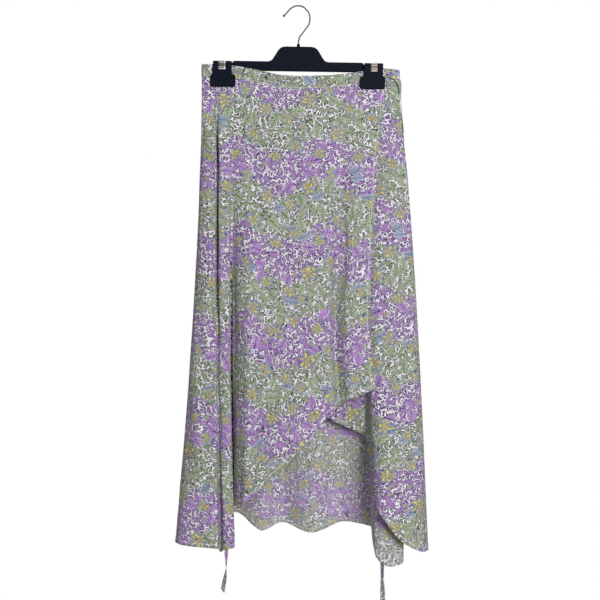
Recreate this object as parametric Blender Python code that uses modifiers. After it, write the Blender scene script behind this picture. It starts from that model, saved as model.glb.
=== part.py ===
"""A wrap skirt with crossed tulip fronts, hung by its waistband from a clip hanger.

The origin is where the hook bears on what holds it: +Z up, +X to the viewer's right, -Y towards the viewer.
Sizes in the tables are millimetres. "Fall" is a distance below the origin.
"""

import math

import bmesh
import bpy
import numpy as np

MM = 0.001

# Cloth
CLOTH_WALL = 1.2
BAND_WALL = 1.6
BAND_HEIGHT = 23.0
SEAM_GAP = 0.3
TIE_WIDTH = 10.0
GRIP_FALL = 152.0  # the panels hang straight down from the waistband to here, just below the clips
GRIP_FADE = 90.0  # how far below that the waistband still sets their shape
HIP_FALL = 303.0
KNEE_FALL = 582.0
COLUMN_STEP = 12.0  # about the width of one facet across a panel
PANEL_ROWS = 16
TIE_STEP = 30.0
SEAM_COLUMN = 3.0  # a narrow column of facets beside each side seam
BAND_ROWS = 2

# Hanger, drawn level; the whole of it then hangs a little askew
HANGER_TILT = 0.9  # degrees, the right end lower
BAR_HALF_THICKNESS = 3.0
BAR_TOP_FALL = 99.8
BAR_FOOT_FALL = 116.4
BAR_END_ROUND = 2.0
BAR_FOOT_ROUND = 2.5
HUMP_FALL = 72.6
HUMP_SHOULDER = (32.0, 16.0)  # distance from the middle, corner radius
HUMP_ROOT = (48.5, 12.0)
JAW_BLOCK = (118.2, 152.1)  # nearest and farthest from the middle
JAW_PAD = (111.2, 156.0)
JAW_TOP_FALL = 103.1
JAW_STEP_RUN = 2.7  # the bar's top slopes down over this to the rear jaw's
PAD_TOP_FALL = 125.6  # where the pad's sloping shoulders leave the block
PAD_SHOULDER = 3.4  # how far they go down
PAD_FOOT_FALL = 148.7
JAW_BACK_Y = -9.1
JAW_BLOCK_THICKNESS = 4.2
JAW_PAD_THICKNESS = 5.6
HEEL_HEIGHT = 2.5
HEEL_STEP = 0.4  # how far the heel's top stands below the bar's
HEEL_INSET = 1.5
SPRING_MIDDLE = 136.0
SPRING_WIDTH = 14.0
SPRING_WALL = 0.8
SPRING_BEND = 0.8
SPRING_FOOT_FALL = 118.3
SPRING_BACK_REACH = 4.0  # the rear leg is this much longer than the front one
NOTCH_DEPTH = 0.7  # cut in the jaws' top edge for the spring
BED_DEPTH = 1.2  # cut in the front jaw's face for the spring
EDGE_ROUND = 0.7
PAD_ROUND = 4.2
ROOT_ROUND = 1.4
PAD_STEP = 0.5  # how far a pad's thick front stands in from the jaw's outline
CLEARANCE = 0.3
CUT_PAST = 1.0  # how far a cutter runs past what it cuts
SINK = 0.5  # how far a joined piece is sunk in the other
WIRE_RADIUS = 1.3
WIRE_STEPS = 34
HOOK_BALL_RADIUS = 2.2
COLLAR_HEIGHT = 5.0
COLLAR_FOOT_RADIUS = 3.6
COLLAR_TOP_RADIUS = 2.4
COLLAR_SINK = 2.0
WIRE_SOCKET_DEPTH = 14.0
ROUND_SIDES = 20
MERGE = 0.00001  # metres

# The waistband's middle seen from above: one strip that starts at the overlap's end
BAND_PLAN = (
    # place, x, y
    ("overlap_end", 157.0, -8.0),
    ("right_clip", 131.0, -8.0),
    ("right_clip_inner", 107.0, -8.0),
    ("front_right", 60.0, -10.5),
    ("front_middle", 0.0, -12.5),
    ("front_left", -60.0, -10.5),
    ("left_clip_inner", -112.0, -8.0),
    ("left_clip", -136.0, -8.0),
    ("left_clip_outer", -158.0, -8.0),
    ("left_front_bulge", -168.0, -8.8),
    ("left_front_turn", -173.0, -7.8),
    ("left_fold", -174.3, -5.6),
    ("left_back_turn", -173.0, -3.4),
    ("left_back_bulge", -168.0, -2.6),
    ("back_left_clip_outer", -158.0, -4.2),
    ("back_left_clip", -136.0, -4.2),
    ("back_left_clip_inner", -112.0, -4.2),
    ("back_left", -62.0, -4.0),
    ("back_middle", 0.0, -1.5),
    ("back_right", 62.0, -4.0),
    ("back_right_clip_inner", 107.0, -4.2),
    ("back_right_clip", 131.0, -4.2),
    ("back_right_clip_outer", 155.0, -4.2),
    ("right_back_bulge", 170.0, -2.0),
    ("right_back_turn", 178.0, -2.6),
    ("right_fold", 180.2, -5.2),
    ("right_front_turn", 178.0, -7.4),
    ("right_front_bulge", 170.0, -7.6),
    ("inner_right_clip_outer", 155.0, -6.1),
    ("inner_right_clip", 131.0, -6.1),
    ("inner_right_clip_inner", 107.0, -6.1),
    ("inner_middle", 0.0, -7.6),
    ("inner_left_clip_inner", -112.0, -6.1),
    ("underlap_end", -126.0, -6.1),
)

# The waistband's top edge sags between the clips
BAND_TOP = (
    # x, fall
    (-175.0, 105.8),
    (-157.0, 105.4),
    (-118.0, 108.2),
    (-85.0, 114.2),
    (-58.0, 120.2),
    (-35.0, 125.4),
    (0.0, 127.6),
    (46.0, 126.6),
    (77.0, 123.6),
    (101.0, 120.4),
    (115.0, 117.6),
    (151.0, 113.0),
    (181.0, 116.4),
)

# Each panel hangs between lines that run down it, along the crests and bottoms of its folds.
# x_waist says where the line leaves the waistband; x and y follow at the hip, the knee and the line's own hem.
OVERLAP_LINES = (
    # line, x_waist, x_hip, x_knee, x_hem, y_hip, y_knee, y_hem, hem_fall
    ("left_seam", -174.3, -178, -192, -222, 0, 0, 0, 962),
    ("left_round", -170, -173, -184, -212, -11, -17, -28, 957),
    ("left_face", -162, -160, -165, -178, -20, -29, -50, 958),
    ("flap_ridge", -151, -149, -148, -141, -21, -31, -54, 960),
    ("crease", -146, -145, -144, -137, -7, -9, -30, 971),
    ("strip_left", -140, -139, -137, -130, -20, -28, -54, 961),
    ("strip_right", -122, -123, -120, -114, -20, -29, -54, 957),
    ("step_back", -108, -111, -115, -119, -9, -5, -8, 909),
    ("main_left", -88, -87, -90, -99, -17, -19, -16, 896),
    ("main_quarter", -43, -43, -48, -58, -19, -23, -32, 853),
    ("main_middle", 2, 2, 2, 2, -20, -25, -36, 792),
    ("main_ridge", 56, 61, 65, 66, -20, -26, -34, 727),
    ("valley", 83, 76, 74, 77, -13, -13, -15, 715),
    ("edge_ridge", 108, 107, 99, 100, -19, -22, -33, 700),
    ("free_edge", 154, 139, 127, 136, -16, -20, -31, 686),
)

UNDERLAP_LINES = (
    # line, x_waist, x_hip, x_knee, x_hem, y_hip, y_knee, y_hem, hem_fall
    ("free_edge", -122, -119, -106, -93, 0, 4, 12, 695),
    ("hidden_left", -67, -67, -61, -56, -2, 2, 10, 706),
    ("hidden_middle", 2, 2, 5, 9, 1, 6, 18, 721),
    ("hidden_right", 60, 60, 60, 66, -3, 1, 12, 742),
    ("turn_back", 108, 105, 98, 99, 0, 4, 17, 758),
    ("fold_inside", 137, 135, 122, 120, -3, 0, 3, 775),
    ("fold_ridge", 153, 152, 139, 138, -9, -14, -40, 893),
    ("strip_middle", 164, 168, 171, 172, -12, -20, -50, 942),
    ("strip_round", 174, 184, 199, 217, -9, -16, -34, 971),
    ("right_seam", 180.2, 195, 214, 232, 0, 0, 0, 975),
)

BACK_LINES = (
    # line, x_waist, x_hip, x_knee, x_hem, y_hip, y_knee, y_hem, hem_fall
    ("left_seam", -174.3, -178, -192, -222, 0, 0, 0, 962),
    ("left_round", -169, -173, -185, -213, 11, 20, 36, 970),
    ("left_back", -139, -141, -149, -174, 17, 33, 60, 972),
    ("hollow_left", -110, -111, -115, -119, 19, 36, 70, 928),
    ("flute_left", -67, -67, -68, -69, 12, 24, 48, 956),
    ("hollow_middle", -32, -33, -33, -34, 18, 37, 77, 948),
    ("flute_middle", 24, 24, 24, 24, 13, 26, 52, 961),
    ("hollow_right", 78, 81, 81, 75, 18, 36, 76, 948),
    ("flute_start", 118, 117, 118, 101, 13, 27, 62, 944),
    ("flute_side", 129, 128, 130, 122, 12, 22, 30, 944),
    ("flute_corner", 138, 138, 139, 136, 9, 14, -14, 982),
    ("flute_front", 149, 158, 160, 160, 8, 11, -26, 998),
    ("flute_edge", 157, 173, 180, 186, 9, 13, -18, 992),
    ("flute_return", 163, 183, 189, 189, 12, 20, 14, 966),
    ("right_back", 169, 190, 200, 206, 13, 25, 40, 964),
    ("right_round", 175, 194, 210, 226, 8, 17, 24, 967),
    ("right_seam", 180.2, 195, 214, 232, 0, 0, 0, 975),
)

# The ties' middles; facing is the way the flat side looks, in degrees from +X towards +Y
TIE_LEFT_ROUTE = (
    # x, y, fall, facing
    (-131.3, -6.1, 114.4, -90),
    (-131.3, -6.1, 150.0, -90),
    (-131.0, -5.0, 300.0, -90),
    (-130.5, -3.0, 600.0, -84),
    (-130.5, -2.0, 850.0, -70),
    (-130.5, -2.5, 970.0, -40),
    (-130.5, -4.0, 1008.0, 2),
    (-133.6, -4.0, 1032.0, 40),
    (-137.1, -4.0, 1050.0, 48),
)
TIE_RIGHT_ROUTE = (
    # x, y, fall, facing
    (157.8, -8.2, 123.6, -94),
    (162.0, -9.4, 124.1, -96),
    (168.0, -10.2, 126.5, -90),
    (175.0, -10.6, 132.3, -78),
    (181.0, -9.0, 143.4, -42),
    (183.4, -6.4, 160.0, -14),
    (185.0, -2.6, 195.0, 2),
    (186.6, 4.4, 230.0, 24),
    (185.4, 12.4, 258.0, 54),
    (182.0, 15.4, 296.0, 80),
    (170.0, 16.2, 340.0, 92),
    (160.0, 14.6, 390.0, 94),
    (154.8, 17.0, 600.0, 90),
    (153.6, 24.0, 850.0, 84),
    (153.2, 30.0, 980.0, 60),
    (152.9, 30.0, 1036.0, 26),
    (153.6, 30.0, 1062.0, 48),
    (153.8, 30.0, 1088.0, 58),
)

HOOK_ROUTE = (
    # x, fall, from the ball end to the foot in the bar
    (-26.9, 16.9),
    (-22.7, 12.6),
    (-17.4, 6.2),
    (-13.2, 2.4),
    (-8.6, -0.3),
    (-3.0, -1.4),
    (0.0, -1.5),
    (3.8, -1.1),
    (8.6, 1.1),
    (13.2, 5.2),
    (17.3, 10.3),
    (19.4, 15.6),
    (20.0, 21.8),
    (19.5, 28.1),
    (17.3, 33.3),
    (12.6, 40.1),
    (6.9, 48.2),
    (1.8, 55.1),
    (0.6, 60.3),
    (0.0, 66.0),
    (0.0, 80.0),
)

FINISHES = {
    # name: colour in linear light, roughness, metallic
    "printed viscose": ((0.33, 0.29, 0.34), 0.9, 0.0),
    "printed viscose band": ((0.25, 0.29, 0.2), 0.9, 0.0),
    "printed viscose tie": ((0.2, 0.26, 0.16), 0.9, 0.0),
    "black moulded plastic": ((0.012, 0.014, 0.022), 0.5, 0.0),
    "spring steel": ((0.55, 0.54, 0.5), 0.35, 1.0),
    "bright wire": ((0.45, 0.44, 0.41), 0.3, 1.0),
}


def clear_scene():
    for thing in list(bpy.data.objects):
        bpy.data.objects.remove(thing, do_unlink=True)


def new_collection(name):
    collection = bpy.data.collections.new(name)
    bpy.context.scene.collection.children.link(collection)
    return collection


def finish_of(name, node):
    """A material of the node's own, so that it can be coloured by itself."""
    colour, roughness, metallic = FINISHES[name]
    material = bpy.data.materials.new(f"{name} of {node}")
    material.use_nodes = True
    shader = material.node_tree.nodes["Principled BSDF"]
    shader.inputs["Base Color"].default_value = (*colour, 1.0)
    shader.inputs["Roughness"].default_value = roughness
    shader.inputs["Metallic"].default_value = metallic
    material.diffuse_color = (*colour, 1.0)
    return material


# Smooth curves through the tables


def through(knots, values, at, level_ends=(False, False)):
    """A smooth curve through values at knots, read at the places in at.

    It is a cubic between neighbours whose slope is the harmonic mean of the two sides' slopes, and level where
    they turn, so it never swings past its points. values may have columns. A level end starts with slope 0.
    """
    knots = np.asarray(knots, float)
    values = np.asarray(values, float)
    at = np.asarray(at, float)
    width = np.diff(knots).reshape((-1,) + (1,) * (values.ndim - 1))
    rise = np.diff(values, axis=0) / width
    slope = np.empty_like(values)
    product = rise[:-1] * rise[1:]
    total = np.where(product > 0, rise[:-1] + rise[1:], 1.0)
    slope[1:-1] = np.where(product > 0, 2 * product / total, 0.0)
    slope[0] = 0.0 if level_ends[0] else 1.5 * rise[0] - 0.5 * slope[1]
    slope[-1] = 0.0 if level_ends[1] else 1.5 * rise[-1] - 0.5 * slope[-2]
    left = np.clip(np.searchsorted(knots, at, side="right") - 1, 0, len(knots) - 2)
    span = width[left]
    u = ((at - knots[left]).reshape((-1,) + (1,) * (values.ndim - 1))) / span
    return (
        values[left] * (2 * u**3 - 3 * u**2 + 1)
        + slope[left] * span * (u**3 - 2 * u**2 + u)
        + values[left + 1] * (3 * u**2 - 2 * u**3)
        + slope[left + 1] * span * (u**3 - u**2)
    )


def running_length(points):
    steps = np.linalg.norm(np.diff(points, axis=0), axis=1)
    return np.concatenate(([0.0], np.cumsum(steps)))


class Band:
    """The waistband's middle line: a smooth plan curve read by the distance along it."""

    def __init__(self, samples=2400):
        plan = np.array([row[1:] for row in BAND_PLAN], float)
        rough = running_length(plan)
        fine = through(rough, plan, np.linspace(0, rough[-1], samples))
        self.plan = fine
        self.along = running_length(fine)
        names = [row[0] for row in BAND_PLAN]
        marks = np.interp(rough, np.linspace(0, rough[-1], samples), self.along)
        self.mark = dict(zip(names, marks))

    def point(self, along):
        x = np.interp(along, self.along, self.plan[:, 0])
        y = np.interp(along, self.along, self.plan[:, 1])
        return np.stack([x, y], axis=-1)

    def top_fall(self, x):
        rows = np.array(BAND_TOP)
        return through(rows[:, 0], rows[:, 1], np.clip(x, rows[0, 0], rows[-1, 0]))

    def layer(self, start, end):
        """The stretch between two named places, for reading it by x."""
        inside = (self.along >= self.mark[start]) & (self.along <= self.mark[end])
        x = self.plan[inside, 0]
        along = self.along[inside]
        order = np.argsort(x)
        return x[order], along[order]


def panel_grid(lines, band, layer, level_ends):
    """Points across and down a panel, lofted across its lines.

    Each line runs smoothly down through its waist, hip, knee and hem. Across them runs a smooth curve at every
    row, spaced by the cloth's own width, with whole facets between neighbouring lines.
    """
    table = np.array([row[1:] for row in lines], float)
    x_waist, x_hip, x_knee, x_hem, y_hip, y_knee, y_hem, hem_fall = table.T
    along = np.interp(x_waist, *band.layer(*layer))
    waist = band.point(along)
    top_fall = band.top_fall(waist[:, 0]) + BAND_HEIGHT + SEAM_GAP

    down = np.linspace(0, 1, PANEL_ROWS)
    drop = np.column_stack([top_fall, GRIP_FALL + (hem_fall - GRIP_FALL)[:, None] * down])
    runs = []
    for i in range(len(lines)):
        knots = (top_fall[i], GRIP_FALL, HIP_FALL, KNEE_FALL, hem_fall[i])
        places = np.array(
            [
                waist[i],
                waist[i],
                (x_hip[i], y_hip[i]),
                (x_knee[i], y_knee[i]),
                (x_hem[i], y_hem[i]),
            ]
        )
        runs.append(through(knots, places, drop[i]))
    runs = np.array(runs)  # line, row, (x, y)

    low = runs[:, PANEL_ROWS // 3 :]
    width = np.linalg.norm(np.diff(low, axis=0), axis=2).mean(axis=1)
    knots = np.concatenate(([0.0], np.cumsum(width)))
    across = stepped(knots, COLUMN_STEP)
    # A narrow column beside each side seam keeps the two edges there face to face
    if level_ends[0]:
        across = np.insert(across, 1, across[0] + SEAM_COLUMN)
    if level_ends[1]:
        across = np.insert(across, -1, across[-1] - SEAM_COLUMN)

    x = through(knots, runs[:, :, 0], across, level_ends)
    y = through(knots, runs[:, :, 1], across)
    fall = through(knots, drop, across)

    # Down to the clips the cloth hangs exactly under the waistband, and the correction fades out below them
    true_top = band.point(through(knots, along, across))
    true_fall = band.top_fall(true_top[:, 0]) + BAND_HEIGHT + SEAM_GAP
    fade = np.clip(1 - (fall - GRIP_FALL) / GRIP_FADE, 0, 1) ** 2
    x += (true_top[:, 0] - x[:, 0])[:, None] * fade
    y += (true_top[:, 1] - y[:, 0])[:, None] * fade
    fall += (true_fall - fall[:, 0])[:, None] * fade
    return np.stack([x, y, -fall], axis=-1)


def part_seam(grid, column, side):
    """Moves one side edge along Y, so that two panels lie a seam's gap apart."""
    grid[column, :, 1] += side * SEAM_GAP / 2
    return grid


def cloth(name, grid, wall, finish, collection):
    """A grid of points as one open surface, given its wall by Solidify."""
    columns, rows = grid.shape[:2]
    index = np.arange(columns * rows).reshape(columns, rows)
    faces = np.stack([index[:-1, :-1], index[:-1, 1:], index[1:, 1:], index[1:, :-1]], axis=-1).reshape(-1, 4)
    mesh = bpy.data.meshes.new(name)
    mesh.from_pydata((grid.reshape(-1, 3) * MM).tolist(), [], faces.tolist())
    mesh.validate()
    mesh.shade_smooth()
    thing = bpy.data.objects.new(name, mesh)
    collection.objects.link(thing)
    walls = thing.modifiers.new("wall", "SOLIDIFY")
    walls.thickness = wall * MM
    walls.offset = 0.0
    walls.use_even_offset = True
    mesh.materials.append(finish_of(finish, name))
    return thing


def build_panels(band, collection):
    overlap = panel_grid(OVERLAP_LINES, band, ("overlap_end", "left_fold"), (True, False))
    underlap = panel_grid(UNDERLAP_LINES, band, ("right_fold", "underlap_end"), (False, True))
    back = panel_grid(BACK_LINES, band, ("left_fold", "right_fold"), (True, True))
    part_seam(overlap, 0, -1)
    part_seam(underlap, -1, -1)
    part_seam(back, 0, 1)
    part_seam(back, -1, 1)
    cloth("front_overlap", overlap, CLOTH_WALL, "printed viscose", collection)
    cloth("front_underlap", underlap, CLOTH_WALL, "printed viscose", collection)
    cloth("back_panel", back, CLOTH_WALL, "printed viscose", collection)


def build_waistband(band, collection):
    plan = band.point(stepped(sorted(band.mark.values()), 2 * COLUMN_STEP))
    top = band.top_fall(plan[:, 0])
    fall = top[:, None] + BAND_HEIGHT * np.linspace(0, 1, BAND_ROWS + 1)
    x, y = (np.repeat(plan[:, i : i + 1], BAND_ROWS + 1, axis=1) for i in range(2))
    cloth("waistband", np.stack([x, y, -fall], axis=-1), BAND_WALL, "printed viscose band", collection)


def stepped(knots, step):
    """Places from the first knot to the last, with whole steps between neighbouring knots, at least two."""
    places = [knots[0]]
    for start, end in zip(knots[:-1], knots[1:]):
        count = max(2, round((end - start) / step))
        places.extend(start + (end - start) * (np.arange(count) + 1) / count)
    return np.array(places)


def build_tie(name, route, collection):
    """A flat strip along a smooth route, turned so that its flat side looks the way the table says."""
    rows = np.array(route, float)
    middle = rows[:, :3] * (1, 1, -1)
    length = running_length(middle)
    at = stepped(length, TIE_STEP)
    path = through(length, middle, at)
    facing = np.radians(through(length, rows[:, 3], at))
    ahead = np.gradient(path, at, axis=0)
    ahead /= np.linalg.norm(ahead, axis=1, keepdims=True)
    outward = np.stack([np.cos(facing), np.sin(facing), np.zeros_like(facing)], axis=-1)
    sideways = np.cross(ahead, outward)
    sideways /= np.linalg.norm(sideways, axis=1, keepdims=True)
    across = np.array([-0.5, 0.5]) * TIE_WIDTH
    grid = path[:, None, :] + sideways[:, None, :] * across[None, :, None]
    cloth(name, grid, CLOTH_WALL, "printed viscose tie", collection)


# Hanger


def mesh_object(name, mesh, collection):
    thing = bpy.data.objects.new(name, mesh)
    collection.objects.link(thing)
    return thing


def round_corners(corners, steps=5):
    """A closed outline from rows of x, z and corner radius: each corner becomes an arc that touches both sides."""
    points = []
    count = len(corners)
    for i, (x, z, radius) in enumerate(corners):
        corner = np.array([x, z], float)
        before = np.array(corners[i - 1][:2], float) - corner
        after = np.array(corners[(i + 1) % count][:2], float) - corner
        before /= np.linalg.norm(before)
        after /= np.linalg.norm(after)
        if radius == 0:
            points.append(corner)
            continue
        half = math.acos(float(np.clip(before @ after, -1, 1))) / 2
        reach = radius / math.tan(half)
        middle = corner + (before + after) / np.linalg.norm(before + after) * radius / math.sin(half)
        first = corner + before * reach - middle
        last = corner + after * reach - middle
        start = math.atan2(first[1], first[0])
        turn = (math.atan2(last[1], last[0]) - start + math.pi) % (2 * math.pi) - math.pi
        for step in range(steps + 1):
            angle = start + turn * step / steps
            points.append(middle + radius * np.array([math.cos(angle), math.sin(angle)]))
    return points


def plate(name, corners, front_y, back_y, collection):
    """A flat outline in the XZ plane, made thick from front_y to back_y."""
    curve = bpy.data.curves.new(name, "CURVE")
    curve.dimensions = "2D"
    curve.fill_mode = "BOTH"
    curve.extrude = (back_y - front_y) / 2 * MM
    outline = round_corners(corners)
    spline = curve.splines.new("POLY")
    spline.points.add(len(outline) - 1)
    for point, (x, z) in zip(spline.points, outline):
        point.co = (x * MM, z * MM, 0.0, 1.0)
    spline.use_cyclic_u = True
    drawn = bpy.data.objects.new(name + "_outline", curve)
    collection.objects.link(drawn)
    drawn.rotation_euler = (math.pi / 2, 0, 0)
    drawn.location = (0, (front_y + back_y) / 2 * MM, 0)
    bpy.context.view_layer.update()
    evaluated = drawn.evaluated_get(bpy.context.evaluated_depsgraph_get())
    mesh = bpy.data.meshes.new_from_object(evaluated)
    mesh.transform(drawn.matrix_world)
    bpy.data.objects.remove(drawn, do_unlink=True)
    work = bmesh.new()
    work.from_mesh(mesh)
    bmesh.ops.remove_doubles(work, verts=work.verts, dist=MERGE)
    bmesh.ops.dissolve_limit(work, angle_limit=0.01, verts=work.verts, edges=work.edges)
    bmesh.ops.recalc_face_normals(work, faces=work.faces)
    work.to_mesh(mesh)
    work.free()
    mesh.name = name
    return mesh_object(name, mesh, collection)


def box(name, low, high, collection):
    mesh = bpy.data.meshes.new(name)
    work = bmesh.new()
    bmesh.ops.create_cube(work, size=1.0)
    size = np.subtract(high, low) * MM
    middle = np.add(high, low) / 2 * MM
    bmesh.ops.scale(work, vec=size, verts=work.verts)
    bmesh.ops.translate(work, vec=middle, verts=work.verts)
    work.to_mesh(mesh)
    work.free()
    return mesh_object(name, mesh, collection)


def upright_cone(name, radii, top_fall, height, collection):
    """A cone on the Z axis; radii are those of its foot and its top."""
    mesh = bpy.data.meshes.new(name)
    work = bmesh.new()
    bmesh.ops.create_cone(
        work,
        cap_ends=True,
        segments=ROUND_SIDES,
        radius1=radii[0] * MM,
        radius2=radii[1] * MM,
        depth=height * MM,
    )
    bmesh.ops.translate(work, vec=(0, 0, -(top_fall + height / 2) * MM), verts=work.verts)
    work.to_mesh(mesh)
    work.free()
    return mesh_object(name, mesh, collection)


def combine(thing, tool, operation):
    change = thing.modifiers.new(f"{operation.lower()} {tool.name}", "BOOLEAN")
    change.operation = operation
    change.object = tool
    tool.hide_render = True
    tool.display_type = "WIRE"


def soften(thing, width=EDGE_ROUND):
    edge = thing.modifiers.new("rounded edges", "BEVEL")
    edge.width = width * MM
    edge.segments = 2
    edge.limit_method = "ANGLE"
    edge.angle_limit = math.radians(50)


def jaw_corners(inset=0.0):
    """Corners of a right-hand jaw's pad, from the block's outer side round to its inner side, drawn in by inset."""
    inner, outer = JAW_BLOCK
    pad_inner, pad_outer = JAW_PAD
    top = -PAD_TOP_FALL - inset
    shoulder = top - PAD_SHOULDER
    foot = -PAD_FOOT_FALL + inset
    return (
        (outer, top, ROOT_ROUND),
        (pad_outer - inset, shoulder, PAD_ROUND),
        (pad_outer - inset, foot, PAD_ROUND),
        (pad_inner + inset, foot, PAD_ROUND),
        (pad_inner + inset, shoulder, PAD_ROUND),
        (inner, top, ROOT_ROUND),
    )


def build_hanger_body(collection, cutters):
    """The moulded bar: a hump under the hook, and a rear jaw at each end."""
    right = (
        (HUMP_SHOULDER[0], -HUMP_FALL, HUMP_SHOULDER[1]),
        (HUMP_ROOT[0], -BAR_TOP_FALL, HUMP_ROOT[1]),
        (JAW_BLOCK[0] - JAW_STEP_RUN, -BAR_TOP_FALL, ROOT_ROUND),
        (JAW_BLOCK[0], -JAW_TOP_FALL, ROOT_ROUND),
        (JAW_BLOCK[1], -JAW_TOP_FALL, BAR_END_ROUND),
        *jaw_corners(),
        (JAW_BLOCK[0], -BAR_FOOT_FALL, BAR_FOOT_ROUND),
    )
    left = tuple((-x, z, radius) for x, z, radius in reversed(right))
    body = plate("hanger_body", right + left, -BAR_HALF_THICKNESS, BAR_HALF_THICKNESS, collection)
    soften(body)
    collar_top = HUMP_FALL - COLLAR_HEIGHT
    radii = (COLLAR_FOOT_RADIUS, COLLAR_TOP_RADIUS)
    collar = upright_cone("collar", radii, collar_top, COLLAR_HEIGHT + COLLAR_SINK, cutters)
    combine(body, collar, "UNION")
    radii = (WIRE_RADIUS + CLEARANCE, WIRE_RADIUS + CLEARANCE)
    socket = upright_cone("wire_socket", radii, collar_top - CUT_PAST, WIRE_SOCKET_DEPTH + CUT_PAST, cutters)
    combine(body, socket, "DIFFERENCE")
    reach = BAR_HALF_THICKNESS + CUT_PAST
    for side in (-1, 1):
        combine(body, spring_notch(f"rear_notch_{side}", side, -reach, reach, cutters), "DIFFERENCE")
    body.data.materials.append(finish_of("black moulded plastic", "hanger_body"))
    return body


def spring_notch(name, side, front_y, back_y, cutters):
    """What is cut from a jaw's top edge, so that the spring sits flush in it."""
    half = SPRING_WIDTH / 2 + CLEARANCE
    low = (side * SPRING_MIDDLE - half, front_y, -JAW_TOP_FALL - NOTCH_DEPTH)
    high = (side * SPRING_MIDDLE + half, back_y, -JAW_TOP_FALL + CUT_PAST)
    return box(name, low, high, cutters)


def build_jaw(name, side, collection, cutters):
    """A front jaw: block, thicker pad below, and a heel at the top that bears on the bar."""
    inner, outer = JAW_BLOCK
    front_y = JAW_BACK_Y - JAW_BLOCK_THICKNESS
    corners = (
        (outer, -JAW_TOP_FALL, BAR_END_ROUND),
        *jaw_corners(),
        (inner, -JAW_TOP_FALL, BAR_END_ROUND),
    )
    pad = jaw_corners(PAD_STEP)
    if side < 0:
        corners = tuple((-x, z, radius) for x, z, radius in reversed(corners))
        pad = tuple((-x, z, radius) for x, z, radius in reversed(pad))
    jaw = plate(name, corners, front_y, JAW_BACK_Y, collection)
    soften(jaw)
    pad_front = plate(name + "_pad", pad, JAW_BACK_Y - JAW_PAD_THICKNESS, JAW_BACK_Y - SINK, cutters)
    soften(pad_front)
    combine(jaw, pad_front, "UNION")
    low_x, high_x = sorted((side * (inner + HEEL_INSET), side * (outer - HEEL_INSET)))
    heel = box(
        name + "_heel",
        (low_x, JAW_BACK_Y - 2 * SINK, -JAW_TOP_FALL - HEEL_HEIGHT),
        (high_x, -BAR_HALF_THICKNESS - CLEARANCE, -JAW_TOP_FALL - HEEL_STEP),
        cutters,
    )
    combine(jaw, heel, "UNION")
    combine(jaw, spring_notch(name + "_notch", side, front_y - CUT_PAST, 0, cutters), "DIFFERENCE")
    half = SPRING_WIDTH / 2 + CLEARANCE
    bed = box(
        name + "_bed",
        (side * SPRING_MIDDLE - half, front_y - CUT_PAST, -SPRING_FOOT_FALL - CLEARANCE),
        (side * SPRING_MIDDLE + half, front_y + BED_DEPTH, -JAW_TOP_FALL + CUT_PAST),
        cutters,
    )
    combine(jaw, bed, "DIFFERENCE")
    jaw.data.materials.append(finish_of("black moulded plastic", name))
    return jaw


def build_spring(name, side, collection):
    """A flat steel strip bent over both jaws."""
    front = JAW_BACK_Y - JAW_BLOCK_THICKNESS + BED_DEPTH - CLEARANCE - SPRING_WALL / 2
    back = BAR_HALF_THICKNESS + CLEARANCE + SPRING_WALL / 2
    top = -JAW_TOP_FALL - NOTCH_DEPTH + CLEARANCE + SPRING_WALL / 2
    bend = SPRING_BEND
    profile = [(front, -SPRING_FOOT_FALL)]
    for middle, start in (((front + bend, top - bend), 180), ((back - bend, top - bend), 90)):
        for step in range(5):
            angle = math.radians(start - 90 * step / 4)
            profile.append((middle[0] + bend * math.cos(angle), middle[1] + bend * math.sin(angle)))
    profile.append((back, -SPRING_FOOT_FALL - SPRING_BACK_REACH))
    profile = np.array(profile)
    x = side * SPRING_MIDDLE + np.array([-0.5, 0.5]) * SPRING_WIDTH
    grid = np.empty((2, len(profile), 3))
    grid[:, :, 0] = x[:, None]
    grid[:, :, 1:] = profile
    return cloth(name, grid, SPRING_WALL, "spring steel", collection)


def build_hook(collection):
    """Round wire bent to a hook, with a ball at its free end; its foot stands in the bar's socket."""
    rows = np.array(HOOK_ROUTE)
    points = np.stack([rows[:, 0], np.zeros(len(rows)), -rows[:, 1]], axis=-1)
    length = running_length(points)
    route = through(length, points, np.linspace(0, length[-1], WIRE_STEPS))
    curve = bpy.data.curves.new("hook", "CURVE")
    curve.dimensions = "3D"
    curve.bevel_depth = WIRE_RADIUS * MM
    curve.bevel_resolution = 2
    curve.use_fill_caps = True
    spline = curve.splines.new("POLY")
    spline.points.add(len(route) - 1)
    for point, place in zip(spline.points, route):
        point.co = (*(place * MM), 1.0)
    drawn = bpy.data.objects.new("hook_wire", curve)
    collection.objects.link(drawn)
    bpy.context.view_layer.update()
    evaluated = drawn.evaluated_get(bpy.context.evaluated_depsgraph_get())
    mesh = bpy.data.meshes.new_from_object(evaluated)
    bpy.data.objects.remove(drawn, do_unlink=True)
    work = bmesh.new()
    work.from_mesh(mesh)
    bmesh.ops.remove_doubles(work, verts=work.verts, dist=MERGE)
    bmesh.ops.recalc_face_normals(work, faces=work.faces)
    work.to_mesh(mesh)
    work.free()
    return mesh_object("hook", mesh, collection)


def build_hook_ball(hook, cutters):
    mesh = bpy.data.meshes.new("hook_ball")
    work = bmesh.new()
    bmesh.ops.create_uvsphere(work, u_segments=12, v_segments=8, radius=HOOK_BALL_RADIUS * MM)
    x, fall = HOOK_ROUTE[0]
    bmesh.ops.translate(work, vec=(x * MM, 0, -fall * MM), verts=work.verts)
    work.to_mesh(mesh)
    work.free()
    ball = mesh_object("hook_ball", mesh, cutters)
    combine(hook, ball, "UNION")
    hook.data.materials.append(finish_of("bright wire", "hook"))
    return ball


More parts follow.
